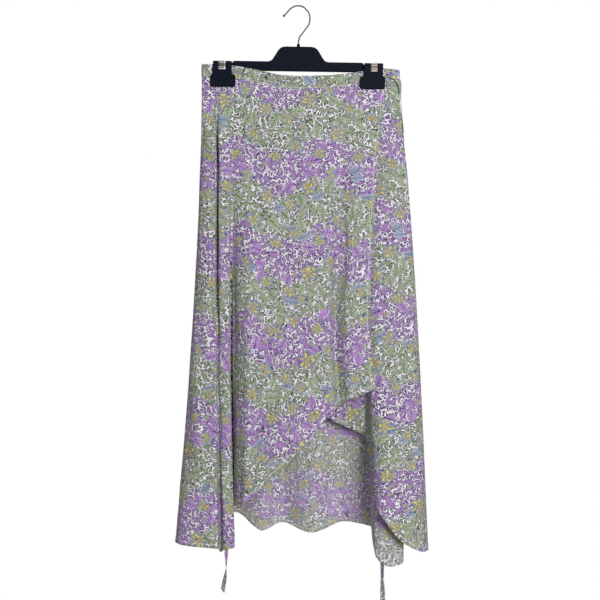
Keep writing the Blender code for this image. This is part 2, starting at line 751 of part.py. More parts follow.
def build_hanger(collection, cutters):
    holder = bpy.data.objects.new("hanger", None)
    collection.objects.link(holder)
    holder.rotation_euler = (0, math.radians(HANGER_TILT), 0)
    pieces = [build_hanger_body(collection, cutters)]
    for name, side in (("left", -1), ("right", 1)):
        pieces.append(build_jaw(f"jaw_{name}", side, collection, cutters))
        pieces.append(build_spring(f"spring_{name}", side, collection))
    hook = build_hook(collection)
    build_hook_ball(hook, cutters)
    pieces.append(hook)
    for piece in pieces + list(cutters.objects):
        piece.parent = holder
    for piece in pieces:
        if piece.data.polygons and not piece.name.startswith("spring"):
            piece.data.shade_smooth()
            piece.data.set_sharp_from_angle(angle=math.radians(40))


def main():
    clear_scene()
    collection = new_collection("wrap_skirt_on_hanger")
    cutters = new_collection("cutters")
    band = Band()
    build_panels(band, collection)
    build_waistband(band, collection)
    build_tie("tie_left", TIE_LEFT_ROUTE, collection)
    build_tie("tie_right", TIE_RIGHT_ROUTE, collection)
    build_hanger(collection, cutters)


main()
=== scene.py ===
import math

import bpy
import numpy as np
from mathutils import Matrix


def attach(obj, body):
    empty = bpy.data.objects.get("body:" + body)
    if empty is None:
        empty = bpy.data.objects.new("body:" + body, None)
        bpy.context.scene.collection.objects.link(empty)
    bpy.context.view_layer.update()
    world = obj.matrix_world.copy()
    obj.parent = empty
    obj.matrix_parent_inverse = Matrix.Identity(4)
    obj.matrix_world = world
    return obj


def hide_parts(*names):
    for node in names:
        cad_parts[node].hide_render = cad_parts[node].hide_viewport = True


# A wrap skirt with crossed tulip fronts, hung by its waistband from a clip hanger.
# +X is to the viewer's right and -Y towards the viewer. Tables are in millimetres, "fall" is depth below the origin.

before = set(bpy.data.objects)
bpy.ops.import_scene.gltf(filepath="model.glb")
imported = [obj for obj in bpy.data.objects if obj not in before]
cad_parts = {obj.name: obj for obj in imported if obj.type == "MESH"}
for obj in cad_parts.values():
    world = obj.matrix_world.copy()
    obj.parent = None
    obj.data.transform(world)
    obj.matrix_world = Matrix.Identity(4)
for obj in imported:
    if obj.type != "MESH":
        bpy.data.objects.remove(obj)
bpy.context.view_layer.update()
mm = 0.001
print("frame loaded:", len(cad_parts), "nodes")


# tools for shapes

def through(knots, values, at, levelEnds=(False, False)):
    # cubic between neighbours; slope = harmonic mean of both sides' slopes, 0 where they turn or at a level end
    knots, values, at = (np.asarray(a, float) for a in (knots, values, at))
    width = np.diff(knots).reshape((-1,) + (1,) * (values.ndim - 1))
    rise = np.diff(values, axis=0) / width
    slope = np.empty_like(values)
    product = rise[:-1] * rise[1:]
    total = np.where(product > 0, rise[:-1] + rise[1:], 1.0)
    slope[1:-1] = np.where(product > 0, 2 * product / total, 0.0)
    slope[0] = 0.0 if levelEnds[0] else 1.5 * rise[0] - 0.5 * slope[1]
    slope[-1] = 0.0 if levelEnds[1] else 1.5 * rise[-1] - 0.5 * slope[-2]
    left = np.clip(np.searchsorted(knots, at, side="right") - 1, 0, len(knots) - 2)
    span = width[left]
    u = (at - knots[left]).reshape((-1,) + (1,) * (values.ndim - 1)) / span
    return (values[left] * (2 * u**3 - 3 * u**2 + 1) + slope[left] * span * (u**3 - 2 * u**2 + u)
            + values[left + 1] * (3 * u**2 - 2 * u**3) + slope[left + 1] * span * (u**3 - u**2))


def runningLength(points):
    # 0, then the sum of the straight steps up to each point
    return np.concatenate(([0.0], np.cumsum(np.linalg.norm(np.diff(points, axis=0), axis=1))))


def stepped(knots, step):
    # whole steps of about this length between neighbouring knots, at least two
    places = [knots[:1]]
    for start, end in zip(knots[:-1], knots[1:]):
        count = max(2, round((end - start) / step))
        places.append(start + (end - start) * (np.arange(count) + 1) / count)
    return np.concatenate(places)


def smoothStep(low, high, value):
    # 0 below low, 1 above high, 3t^2 - 2t^3 between
    t = np.clip((value - low) / (high - low), 0, 1)
    return t * t * (3 - 2 * t)


def unit(vectors):
    # each vector divided by its own length
    return vectors / np.maximum(np.linalg.norm(vectors, axis=-1, keepdims=True), 1e-9)


def gridNormals(grid):
    # cross product of the steps down and across, made unit length
    return unit(np.cross(np.gradient(grid, axis=1), np.gradient(grid, axis=0)))


def flatMap(u, v):
    # u and v side by side for each column and row of a grid
    return np.stack(np.broadcast_arrays(u, v), axis=-1)


def addObject(name, data):
    added = bpy.data.objects.new(name, data)
    bpy.context.scene.collection.objects.link(added)
    return added


def addMesh(name, grid, maps=None, closeAround=False, facesBack=False):
    # a quad between each two neighbouring columns and rows of a grid in mm; closeAround joins the last row to the
    # first and facesBack turns the quads over; maps = {uv name: u and v in mm for each point}
    index = np.arange(grid.shape[0] * grid.shape[1]).reshape(grid.shape[:2])
    if closeAround:
        index = np.concatenate([index, index[:, :1]], axis=1)
    faces = np.stack([index[:-1, :-1], index[:-1, 1:], index[1:, 1:], index[1:, :-1]], axis=-1).reshape(-1, 4)
    if facesBack:
        faces = faces[:, ::-1]
    mesh = bpy.data.meshes.new(name)
    mesh.from_pydata((grid.reshape(-1, 3) * mm).tolist(), [], faces.tolist())
    for mapName, flat in (maps or {}).items():
        layer = mesh.uv_layers.new(name=mapName)
        layer.data.foreach_set("uv", (flat.reshape(-1, 2) * mm)[faces.ravel()].astype(np.float32).ravel())
    mesh.shade_smooth()
    mesh.validate()
    return addObject(name, mesh)


def addWall(piece, thickness, rightSide, wrongSide, thick=None, thinShare=1.0):
    # the open surface is the cloth's middle; Solidify gives it both sides, the wrong side in its own material;
    # thick = 0 for the thin wall to 1 for the whole thickness at each point, in quarters
    wall = piece.modifiers.new("wall", "SOLIDIFY")
    wall.thickness = thickness * mm
    wall.offset = 0.0
    wall.use_even_offset = False
    wall.material_offset = 1
    piece.data.materials.append(rightSide)
    piece.data.materials.append(wrongSide)
    if thick is not None:
        group = piece.vertex_groups.new(name="hem")
        for share in (0.25, 0.5, 0.75, 1.0):
            group.add(np.flatnonzero(thick.ravel() == share).tolist(), share, "REPLACE")
        wall.vertex_group = "hem"
        wall.thickness_vertex_group = thinShare


# tools for materials

def linear(code):
    # sRGB hex to linear light: c / 12.92 up to 0.04045, else ((c + 0.055) / 1.055) ^ 2.4
    parts = [int(code[i:i + 2], 16) / 255 for i in (1, 3, 5)]
    return tuple(c / 12.92 if c <= 0.04045 else ((c + 0.055) / 1.055) ** 2.4 for c in parts) + (1.0,)


def addNode(tree, kind, inputs=(), **settings):
    # kind is its name without ShaderNode, and its operation after a space; settings go on the node itself; inputs, in
    # order or by key, are sockets to link or values to set
    kind, *operation = kind.split()
    node = tree.nodes.new("ShaderNode" + kind)
    if operation:
        node.operation = operation[0]
    for key, value in settings.items():
        setattr(node, key, value)
    for key, value in inputs.items() if isinstance(inputs, dict) else enumerate(inputs):
        if isinstance(value, bpy.types.NodeSocket):
            tree.links.new(value, node.inputs[key])
        else:
            node.inputs[key].default_value = value
    return node.outputs


def newMaterial(name, finish, *details):
    # a finish is a function that adds its nodes and returns its shader
    material = bpy.data.materials.new(name)
    material.use_nodes = True
    material.node_tree.nodes.clear()
    shader = finish(material.node_tree, *details)
    addNode(material.node_tree, "OutputMaterial", {"Surface": shader["BSDF"]})
    return material


def mapPlace(tree, mapName, offset=(0, 0)):
    # the place on one of the piece's UV maps in mm, moved by the offset
    uv = addNode(tree, "UVMap", uv_map=mapName)["UV"]
    return addNode(tree, "Mapping", {"Vector": uv, "Location": (*offset, 0), "Scale": (1000, 1000, 1000)})["Vector"]


def paint(tree, under, over, reach, start, soft):
    # one colour laid on another where reach passes start, with an edge this soft
    mask = addNode(tree, "MapRange", {"Value": reach, "From Min": start - soft, "From Max": start + soft},
                   interpolation_type="SMOOTHSTEP")[0]
    return addNode(tree, "Mix", {0: mask, 6: under, 7: over}, data_type="RGBA")[2]


def nearTo(tree, value, centre):
    # 0 at the centre and lower on both sides of it: -|value - centre|
    away = addNode(tree, "Math SUBTRACT", (value, centre))[0]
    away = addNode(tree, "Math ABSOLUTE", (away,))[0]
    return addNode(tree, "Math MULTIPLY", (away, -1.0))[0]


def angleRound(tree, place):
    # arc tangent of y / x
    x, y = addNode(tree, "SeparateXYZ", (place,))[:2]
    return addNode(tree, "Math ARCTAN2", (y, x))[0]


# print

printLook = {
    "repeat": (150.0, 155.0),  # width and height of the print's repeat
    "ground": "#E4E1E8",
    "lilac": "#B28BC8",
    "lilacDark": "#46335A",
    "sage": "#A0AD90",
    "sageDark": "#414B39",
    "yellow": "#CCC180",
    "yellowDark": "#6C6140",
    "blue": "#95A1B8",
    "blueDark": "#434D66",
    "seed": "#3C342E",
    "soft": 0.15,  # half the blur of a printed edge
    "steep": 2000.0,  # how sharply a chance decides
    "bandSwing": 15.0,  # of the lilac and sage bands, up and down
    "bends": ((42, 13), (15, 5.5), (6, 2.6)),  # wavelength and swing of the foliage's curls
    "sways": ((14, 9), (5, 3.2)),  # the same of the flowers
    "strokeCell": 7.2,  # pale strokes run between cells of this size
    "strokeNoise": (9.0, 0.36, 0.6),  # wavelength, low and high of the noise that makes strokes wide
    "strokeHalf": (-0.7, 0.82),  # half a stroke's width at the low and the high; none under 0
    "strokeRim": 0.9,
    "innerLine": (2.0, 0.3),  # a fine line inside each cell: from its edge, half its width
    "commaCell": 8.6,  # from curled stroke to curled stroke
    "commaScatter": 0.75,  # 0 sets them in rows, 1 anywhere
    "commaShare": 0.72,  # of the cells have one
    "commaRadius": 2.5,
    "commaHead": 1.15,  # half its width at the round head, nothing at the tail
    "commaTail": -2.4,  # the tail's angle, where the head's is pi
    "leafCell": 24.0,  # from leaf to leaf
    "leafScatter": 0.8,
    "leafShare": 0.4,  # of the cells have one
    "leafMore": 0.15,  # more of them for each 1 that the band's wave is under 0.5
    "leafLength": 12.0,  # from a leaf's middle to its tip
    "leafWidth": 6.2,
    "leafRims": (-1.1, -0.35, 0.35),  # where its pale rim, dark outline and own colour start
    "leafTone": (0.92, 1.15),
    "blueShare": 0.1,  # of the leaves are blue
    "lobe": 4.6,  # from one lobe of a leaf to the next
    "lobeDepth": 1.3,
    "lobeLean": 0.9,  # how far side veins run forward for each 1 outwards
    "vein": 0.86,  # a side vein lies where the lobes' wave is this low
    "midrib": 0.45,
    "rosetteCell": 29.0,
    "rosetteScatter": 0.9,
    "rosetteShare": 0.5,
    "rosette": 4.2,  # its radius
}
dye = {key: linear(code) for key, code in printLook.items() if isinstance(code, str)}


def bandAt(tree, place):
    # above 0 in the lilac bands and below in the sage ones: sine of the height, which a sine of the width swings
    repeatX, repeatY = printLook["repeat"]
    wave, height = addNode(tree, "SeparateXYZ", (place,))[:2]
    for operation, *others in (("MULTIPLY", 2 * math.pi / repeatX), ("SINE",),
                               ("MULTIPLY_ADD", printLook["bandSwing"], height),
                               ("MULTIPLY", 2 * math.pi / repeatY), ("SINE",)):
        wave = addNode(tree, "Math " + operation, (wave, *others))[0]
    return wave


def swung(tree, place, swings):
    # the place pushed by the colours of several noises, each by up to half its swing either way
    moved = place
    for wavelength, swing in swings:
        push = addNode(tree, "TexNoise", {"Vector": place, "Scale": 1 / wavelength, "Detail": 0.0},
                       noise_dimensions="2D")["Color"]
        push = addNode(tree, "VectorMath MULTIPLY_ADD", (push, (swing, swing, 0), (-swing / 2, -swing / 2, 0)))[0]
        moved = addNode(tree, "VectorMath ADD", (moved, push))[0]
    return moved


def turnedCell(tree, place, size, scatter):
    # in Voronoi cells of this size: the place from the cell's point, turned at random; its three chances; its point
    cell = addNode(tree, "TexVoronoi", {"Vector": place, "Scale": 1 / size, "Randomness": scatter},
                   voronoi_dimensions="2D")
    chance = addNode(tree, "SeparateColor", (cell["Color"],))
    local = addNode(tree, "VectorMath SUBTRACT", (place, cell["Position"]))[0]
    turn = addNode(tree, "Math MULTIPLY", (chance[0], 2 * math.pi))[0]
    local = addNode(tree, "VectorRotate", {"Vector": local, "Angle": turn}, rotation_type="Z_AXIS")[0]
    return local, chance, cell["Position"]


def inShare(tree, chance, share):
    # far above 0 in this share of the cells, far below in the others: steep * (chance - 1 + share)
    steep = printLook["steep"]
    return addNode(tree, "Math MULTIPLY_ADD", (chance, steep, -steep * (1 - share)))[0]


def foliage(tree, bent):
    # bands of sage and lilac under pale strokes with dark rims: some run along the edges of Voronoi cells, as wide as
    # a noise says, and some curl round a cell's point, from a round head thinning to a tail
    look = printLook
    band = bandAt(tree, bent)
    colour = paint(tree, dye["sage"], dye["lilac"], band, 0.0, 0.02)
    dark = paint(tree, dye["sageDark"], dye["lilacDark"], band, 0.0, 0.02)
    edge = addNode(tree, "TexVoronoi", {"Vector": bent, "Scale": 1 / look["strokeCell"]},
                   voronoi_dimensions="2D", feature="DISTANCE_TO_EDGE")["Distance"]
    edge = addNode(tree, "Math MULTIPLY", (edge, look["strokeCell"]))[0]
    wavelength, least, most = look["strokeNoise"]
    elsewhere = addNode(tree, "VectorMath ADD", (bent, (71, 33, 0)))[0]
    noise = addNode(tree, "TexNoise", {"Vector": elsewhere, "Scale": 1 / wavelength, "Detail": 0.0},
                    noise_dimensions="2D")["Fac"]
    half = addNode(tree, "MapRange", {"Value": noise, "From Min": least, "From Max": most,
                                   "To Min": look["strokeHalf"][0], "To Max": look["strokeHalf"][1]})[0]
    stroke = addNode(tree, "Math SUBTRACT", (half, edge))[0]
    inner, innerHalf = look["innerLine"]
    colour = paint(tree, colour, dark, nearTo(tree, edge, inner), -innerHalf, look["soft"])

    local, chance = turnedCell(tree, bent, look["commaCell"], look["commaScatter"])[:2]
    radius = addNode(tree, "VectorMath LENGTH", (local,))["Value"]
    head = addNode(tree, "VectorMath DISTANCE", (local, (-look["commaRadius"], 0, 0)))["Value"]
    head = addNode(tree, "Math SUBTRACT", (look["commaHead"], head))[0]
    angle = angleRound(tree, local)
    tail = addNode(tree, "MapRange", {"Value": angle, "From Min": look["commaTail"], "From Max": math.pi,
                                   "To Min": 0.0, "To Max": look["commaHead"]})[0]
    arc = addNode(tree, "Math ADD", (tail, nearTo(tree, radius, look["commaRadius"])))[0]
    arc = addNode(tree, "Math MAXIMUM", (arc, head))[0]
    arc = addNode(tree, "Math MINIMUM", (arc, inShare(tree, chance[2], look["commaShare"])))[0]
    stroke = addNode(tree, "Math MAXIMUM", (stroke, arc))[0]
    colour = paint(tree, colour, dark, stroke, -look["strokeRim"], look["soft"])
    return paint(tree, colour, dye["ground"], stroke, 0.0, look["soft"])


def leaves(tree, bent, colour):
    # one in some of the cells, turned its own way; half width = leafWidth (1 - (along / length)^2), plus a sine
    # that makes lobes, whose dips run on inwards as side veins
    look = printLook
    local, chance, point = turnedCell(tree, bent, look["leafCell"], look["leafScatter"])
    along, aside = addNode(tree, "SeparateXYZ", (local,))[:2]
    aside = lobes = addNode(tree, "Math ABSOLUTE", (aside,))[0]
    for operation, *others in (("MULTIPLY_ADD", look["lobeLean"], along), ("MULTIPLY", 2 * math.pi / look["lobe"]),
                               ("SINE",)):
        lobes = addNode(tree, "Math " + operation, (lobes, *others))[0]
    leaf = addNode(tree, "Math MULTIPLY", (along, 1 / look["leafLength"]))[0]
    leaf = addNode(tree, "Math MULTIPLY", (leaf, leaf))[0]
    leaf = addNode(tree, "Math MULTIPLY_ADD", (leaf, -look["leafWidth"], look["leafWidth"]))[0]
    leaf = addNode(tree, "Math MULTIPLY_ADD", (lobes, look["lobeDepth"], leaf))[0]
    leaf = addNode(tree, "Math SUBTRACT", (leaf, aside))[0]
    band = bandAt(tree, point)
    more = look["steep"] * look["leafMore"]
    more = addNode(tree, "Math MULTIPLY_ADD", (band, -more, more / 2))[0]
    more = addNode(tree, "Math MAXIMUM", (more, 0.0))[0]
    present = addNode(tree, "Math ADD", (inShare(tree, chance[2], look["leafShare"]), more))[0]
    leaf = addNode(tree, "Math MINIMUM", (leaf, present))[0]
    tones = []
    for shade in ("", "Dark"):
        tone = paint(tree, dye["sage" + shade], dye["lilac" + shade], band, 0.0, 0.01)
        tones.append(paint(tree, tone, dye["blue" + shade], chance[0], 1 - look["blueShare"], 0.001))
    fill, dark = tones
    least, most = look["leafTone"]
    value = addNode(tree, "MapRange", {"Value": chance[1], "To Min": least, "To Max": most})[0]
    fill = addNode(tree, "HueSaturation", {"Color": fill, "Value": value})[0]
    vein = addNode(tree, "Math SUBTRACT", (-look["vein"], lobes))[0]
    fill = paint(tree, fill, dark, vein, 0.0, 0.08)
    fill = paint(tree, fill, dark, nearTo(tree, aside, 0.0), -look["midrib"], look["soft"])
    for start, shade in zip(look["leafRims"], (dye["ground"], dark, fill)):
        colour = paint(tree, colour, shade, leaf, start, look["soft"])
    return colour


def rosettes(tree, place, colour):
    # small rings round a dark seed, in some of the cells: each ring starts this far in from the rim
    look = printLook
    elsewhere = addNode(tree, "VectorMath ADD", (place, (31, 17, 0)))[0]
    local, chance = turnedCell(tree, elsewhere, look["rosetteCell"], look["rosetteScatter"])[:2]
    radius = addNode(tree, "VectorMath LENGTH", (local,))["Value"]
    deep = addNode(tree, "Math SUBTRACT", (look["rosette"], radius))[0]
    deep = addNode(tree, "Math MINIMUM", (deep, inShare(tree, chance[0], look["rosetteShare"])))[0]
    for start, shade in ((0.0, "blueDark"), (0.5, "blue"), (1.4, "yellowDark"), (1.8, "yellow"), (3.0, "yellowDark"),
                         (3.3, "seed")):
        colour = paint(tree, colour, dye[shade], deep, start, 0.2)
    return colour


flowers = (
    # x, y, radius, height share, petals, turn in degrees: places in one repeat
    (12, -14, 15, 0.9, 6, 10),
    (52, -30, 13, 0.75, 7, 40),
    (88, 2, 16, 1.0, 7, 0),
    (125, 22, 13, 0.8, 5, 65),
    (27, 56, 14, 0.8, 7, 15),
    (64, 74, 13, 1.0, 6, 30),
    (106, 60, 14, 0.75, 7, -25),
    (138, 98, 15, 1.0, 6, 50),
    (76, 110, 11, 0.85, 5, 20),
)
flowerLook = {
    # in radii of the flower
    "reach": 1.1,  # of the blue rim at a petal's middle
    "notch": 0.45,  # how much less between two petals
    "petalMiddle": 0.57,
    "petalHalf": 0.29,  # half a yellow petal's length
    "petalWide": 0.14,  # half its width
    "heart": 0.28,
    "soft": 0.012,
}


def flowerHeads(tree, place, colour):
    # the nearest flower of the table, counted in its own radii, gives the place in it and a petal's half angle
    look = flowerLook
    halfX, halfY = printLook["repeat"][0] / 2, printLook["repeat"][1] / 2
    swayed = swung(tree, place, printLook["sways"])
    nearest = local = half = None
    for x, y, size, share, count, degrees in flowers:
        here = addNode(tree, "VectorMath SUBTRACT", (swayed, (x, y, 0)))[0]
        here = addNode(tree, "VectorMath WRAP", (here, (halfX, halfY, 1), (-halfX, -halfY, -1)))[0]
        turn = math.radians(degrees)
        here = addNode(tree, "VectorRotate", {"Vector": here, "Angle": turn}, rotation_type="Z_AXIS")[0]
        here = addNode(tree, "VectorMath MULTIPLY", (here, (1 / size, 1 / size / share, 0)))[0]
        far = addNode(tree, "VectorMath LENGTH", (here,))["Value"]
        if nearest is None:
            nearest, local, half = far, here, math.pi / count
            continue
        closer = addNode(tree, "Math LESS_THAN", (far, nearest))[0]
        local = addNode(tree, "Mix", {0: closer, 4: local, 5: here}, data_type="VECTOR")[1]
        half = addNode(tree, "Mix", {0: closer, 2: half, 3: math.pi / count}, data_type="FLOAT")[0]
        nearest = addNode(tree, "Math MINIMUM", (far, nearest))[0]
    angle = angleRound(tree, local)
    angle = addNode(tree, "Math PINGPONG", (angle, half))[0]
    # blue rim: reach - notch * share of the way to the next petal; yellow petals: ovals; heart: a disc
    rim = addNode(tree, "Math DIVIDE", (angle, half))[0]
    rim = addNode(tree, "Math MULTIPLY_ADD", (rim, -look["notch"], look["reach"]))[0]
    rim = addNode(tree, "Math SUBTRACT", (rim, nearest))[0]
    long = look["petalHalf"]
    petal = addNode(tree, "Math MULTIPLY_ADD", (nearest, 1 / long, -look["petalMiddle"] / long))[0]
    petal = addNode(tree, "Math MULTIPLY", (petal, petal))[0]
    petal = addNode(tree, "Math MULTIPLY_ADD", (petal, -look["petalWide"], look["petalWide"]))[0]
    aside = addNode(tree, "Math MULTIPLY", (angle, nearest))[0]
    petal = addNode(tree, "Math SUBTRACT", (petal, aside))[0]
    heart = addNode(tree, "Math SUBTRACT", (look["heart"], nearest))[0]
    for reach, start, shade in (
            (rim, -0.05, "blueDark"), (rim, 0.03, "blue"), (petal, -0.05, "yellowDark"), (petal, 0.015, "yellow"),
            (heart, -0.03, "yellowDark"), (heart, 0.02, "yellow"), (heart, 0.1, "yellowDark"), (heart, 0.16, "blue"),
            (heart, 0.22, "yellow")):
        colour = paint(tree, colour, dye[shade], reach, start, look["soft"])
    return colour


clothLook = {
    "wrongSide": "#C9C5CC",  # mixed into the print on the wrong side, by the share below
    "wrongShare": 0.14,
    "grain": 1.25,  # crepe grain, coarser than the real threads so that it shows
    "grainTone": (0.93, 1.05),
    "thread": "#D6D2DA",
    "stitchLine": 6.5,  # from the edge
    "stitchPitch": 2.8,
    "stitchShare": 0.78,  # the thread's share of the pitch
    "halfThread": 0.32,
    "sunk": 1.4,  # the stitches draw the cloth in from this far away
}


def printedViscose(tree, offset, shade=1.0, wrongSide=False):
    # screen-printed viscose twill: matt, with a faint soft sheen; its wrong side shows the print a little paler
    look = clothLook
    place = mapPlace(tree, "cloth", offset)
    bent = swung(tree, place, printLook["bends"])
    colour = leaves(tree, bent, foliage(tree, bent))
    colour = flowerHeads(tree, place, rosettes(tree, place, colour))
    if wrongSide:
        colour = addNode(tree, "Mix", {0: look["wrongShare"], 6: colour, 7: linear(look["wrongSide"])},
                         data_type="RGBA")[2]
    grain = addNode(tree, "TexNoise", {"Vector": place, "Scale": 1 / look["grain"], "Detail": 2.0})["Fac"]
    # shade under 1 darkens the whole print: painted shade, used on the waistband
    least, most = (tone * shade for tone in look["grainTone"])
    tone = addNode(tree, "MapRange", {
        "Value": grain, "From Min": 0.25, "From Max": 0.75, "To Min": least, "To Max": most})[0]
    colour = addNode(tree, "HueSaturation", {"Color": colour, "Value": tone})[0]
    # stitches: dashes along a line that runs level with the edge, and the cloth dips towards it
    run, toEdge = addNode(tree, "SeparateXYZ", (mapPlace(tree, "edge"),))[:2]
    near = nearTo(tree, toEdge, look["stitchLine"])
    half = look["halfThread"]
    line = addNode(tree, "MapRange", {"Value": near, "From Min": -half - 0.15, "From Max": -half},
                   interpolation_type="SMOOTHSTEP")[0]
    dash = addNode(tree, "Math MULTIPLY", (run, 1 / look["stitchPitch"]))[0]
    dash = addNode(tree, "Math FRACT", (dash,))[0]
    dash = addNode(tree, "Math LESS_THAN", (dash, look["stitchShare"]))[0]
    thread = addNode(tree, "Math MULTIPLY", (line, dash))[0]
    colour = addNode(tree, "Mix", {0: thread, 6: colour, 7: linear(look["thread"])}, data_type="RGBA")[2]
    sunk = addNode(tree, "MapRange", {"Value": near, "From Min": -look["sunk"], "From Max": 0.0},
                   interpolation_type="SMOOTHSTEP")[0]
    height = addNode(tree, "Math MULTIPLY_ADD", (sunk, -1.5, grain))[0]
    bump = addNode(tree, "Bump", {"Strength": 0.35, "Distance": 0.25 * mm, "Height": height})["Normal"]
    return addNode(tree, "BsdfPrincipled", {
        "Base Color": colour, "Roughness": 0.82, "IOR": 1.46, "Specular IOR Level": 0.25,
        "Sheen Weight": 0.12, "Sheen Roughness": 0.5, "Normal": bump})


# camera, light and stage

view = {"place": (0.0018, -1.5, -0.528), "lens": 50.0, "sensor": 36.0}
camera = addObject("camera", bpy.data.cameras.new("camera"))
camera.location = view["place"]
camera.rotation_euler = (math.pi / 2, 0, 0)
camera.data.lens = view["lens"]
camera.data.sensor_width = view["sensor"]
bpy.context.scene.camera = camera
bpy.context.scene.view_settings.view_transform = "Standard"

# a white room: seen white, but giving only part of the light, so that the lamps model the folds
roomLight = 0.14
world = bpy.data.worlds.new("white studio")
bpy.context.scene.world = world
world.use_nodes = True
tree = world.node_tree
tree.nodes.clear()
seen = addNode(tree, "LightPath")["Is Camera Ray"]
strength = addNode(tree, "MapRange", {"Value": seen, "To Min": roomLight, "To Max": 1.0})[0]
room = addNode(tree, "Background", {"Color": (1.0, 1.0, 1.0, 1.0), "Strength": strength})
addNode(tree, "OutputWorld", {"Surface": room[0]})

lampTarget = (0, 0, -0.55)
lamps = (
    # name, place, width and height in metres, watts
    ("key", (0.85, -2.5, 0.1), 0.5, 1.6, 69.0),
    ("fill", (-2.6, -0.5, -0.5), 0.8, 1.6, 3.5),
    ("back", (-0.9, 2.4, 0.4), 1.4, 1.4, 60.0),
)
for name, place, wide, high, watts in lamps:
    data = bpy.data.lights.new(name, "AREA")
    data.shape = "RECTANGLE"
    data.size, data.size_y = wide, high
    data.energy = watts
    lamp = addObject(name, data)
    lamp.location = place
    aim = np.array(lampTarget) - place
    lamp.rotation_euler = (
        math.atan2(math.hypot(aim[0], aim[1]), -aim[2]), 0, math.atan2(aim[1], aim[0]) - math.pi / 2)

floorLook = {"fall": 1380.0, "radius": 700.0, "sides": 96}


def whitePaint(tree):
    # matt white wall paint, faintly uneven over about 0.3 m
    place = addNode(tree, "TexCoord")["Object"]
    grain = addNode(tree, "TexNoise", {"Vector": place, "Scale": 3.0})["Fac"]
    tone = addNode(tree, "MapRange", {"Value": grain, "To Min": 0.93, "To Max": 0.97})[0]
    white = addNode(tree, "CombineColor", (tone, tone, tone))[0]
    return addNode(tree, "BsdfPrincipled", {"Base Color": white, "Roughness": 0.9})


angles = np.linspace(0, 2 * np.pi, floorLook["sides"], endpoint=False)
rim = np.stack([np.cos(angles), np.sin(angles), 0 * angles], axis=-1) * floorLook["radius"]
floorGrid = np.stack([rim * 0.0, rim * 0.5, rim], axis=0) - (0, 0, floorLook["fall"])
floor = addMesh("floor", floorGrid, closeAround=True, facesBack=True)
floor.data.materials.append(newMaterial("white painted floor", whitePaint))
print("camera, light and floor ready")


# waistband

bandLook = {"height": 23.0, "wall": 1.2, "samples": 2400, "step": 6.0, "rows": 9, "rounding": 0.5, "stitchUp": 2.0}
bandPlan = (
    # place, x, y: the band's middle seen from above, from the overlap's end round to the underlap's end inside
    ("overlapEnd", 157, -8),
    ("rightClip", 131, -8),
    ("rightClipInner", 107, -8),
    ("frontRight", 60, -10.5),
    ("frontMiddle", 0, -12.5),
    ("frontLeft", -60, -10.5),
    ("leftClipInner", -112, -8),
    ("leftClip", -136, -8),
    ("leftClipOuter", -158, -8),
    ("leftFrontBulge", -168, -8.8),
    ("leftFrontTurn", -173, -7.8),
    ("leftFold", -174.3, -5.6),
    ("leftBackTurn", -173, -3.4),
    ("leftBackBulge", -168, -2.6),
    ("backLeftClipOuter", -158, -4.2),
    ("backLeftClip", -136, -4.2),
    ("backLeftClipInner", -112, -4.2),
    ("backLeft", -62, -4),
    ("backMiddle", 0, -1.5),
    ("backRight", 62, -4),
    ("backRightClipInner", 107, -4.2),
    ("backRightClip", 131, -4.2),
    ("backRightClipOuter", 155, -4.2),
    ("rightBackBulge", 170, -2),
    ("rightBackTurn", 178, -2.6),
    ("rightFold", 180.2, -5.2),
    ("rightFrontTurn", 178, -7.4),
    ("rightFrontBulge", 170, -7.6),
    ("innerRightClipOuter", 155, -6.1),
    ("innerRightClip", 131, -6.1),
    ("innerRightClipInner", 107, -6.1),
    ("innerMiddle", 0, -7.6),
    ("innerLeftClipInner", -112, -6.1),
    ("underlapEnd", -126, -6.1),
)
bandTop = (
    # x, fall: the top edge sags between the clips
    (-175, 105.8), (-157, 105.4), (-118, 108.2), (-85, 114.2), (-58, 120.2), (-35, 125.4), (0, 127.6),
    (46, 126.6), (77, 123.6), (101, 120.4), (115, 117.6), (151, 113), (181, 116.4),
)
rough = np.array([row[1:] for row in bandPlan], float)
roughLength = runningLength(rough)
samples = np.linspace(0, roughLength[-1], bandLook["samples"])
bandPath = through(roughLength, rough, samples)
bandLength = runningLength(bandPath)
bandMark = dict(zip([row[0] for row in bandPlan], np.interp(roughLength, samples, bandLength)))


def bandPoint(along):
    # x and y at a running length of the band
    return np.stack([np.interp(along, bandLength, bandPath[:, axis]) for axis in range(2)], axis=-1)


def bandTopFall(x):
    # the fall of the band's top edge, level beyond the table's ends
    rows = np.array(bandTop)
    return through(rows[:, 0], rows[:, 1], np.clip(x, rows[0, 0], rows[-1, 0]))


along = stepped(np.array(sorted(bandMark.values())), bandLook["step"])
plan = bandPoint(along)
down = np.linspace(0, bandLook["height"], bandLook["rows"])
bandGrid = np.empty((len(along), bandLook["rows"], 3))
bandGrid[:, :, :2] = plan[:, None]
bandGrid[:, :, 2] = -(bandTopFall(plan[:, 0])[:, None] + down)
bandMaps = {
    "cloth": flatMap(along[:, None], -down),
    "edge": flatMap(along[:, None], bandLook["height"] - down + clothLook["stitchLine"] - bandLook["stitchUp"]),
}
waistband = addMesh("waistband_cloth", bandGrid, bandMaps)
# its print is darkened by 0.93: painted shade
bandCloth = newMaterial("printed viscose, waistband", printedViscose, (20, 122), 0.93)
addWall(waistband, bandLook["wall"], bandCloth, bandCloth)
rounding = waistband.modifiers.new("folded edge", "BEVEL")
rounding.width = bandLook["rounding"] * mm
rounding.segments = 3
rounding.limit_method = "ANGLE"
rounding.angle_limit = math.radians(50)
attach(waistband, "root")
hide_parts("waistband")
print("waistband ready")


# panels

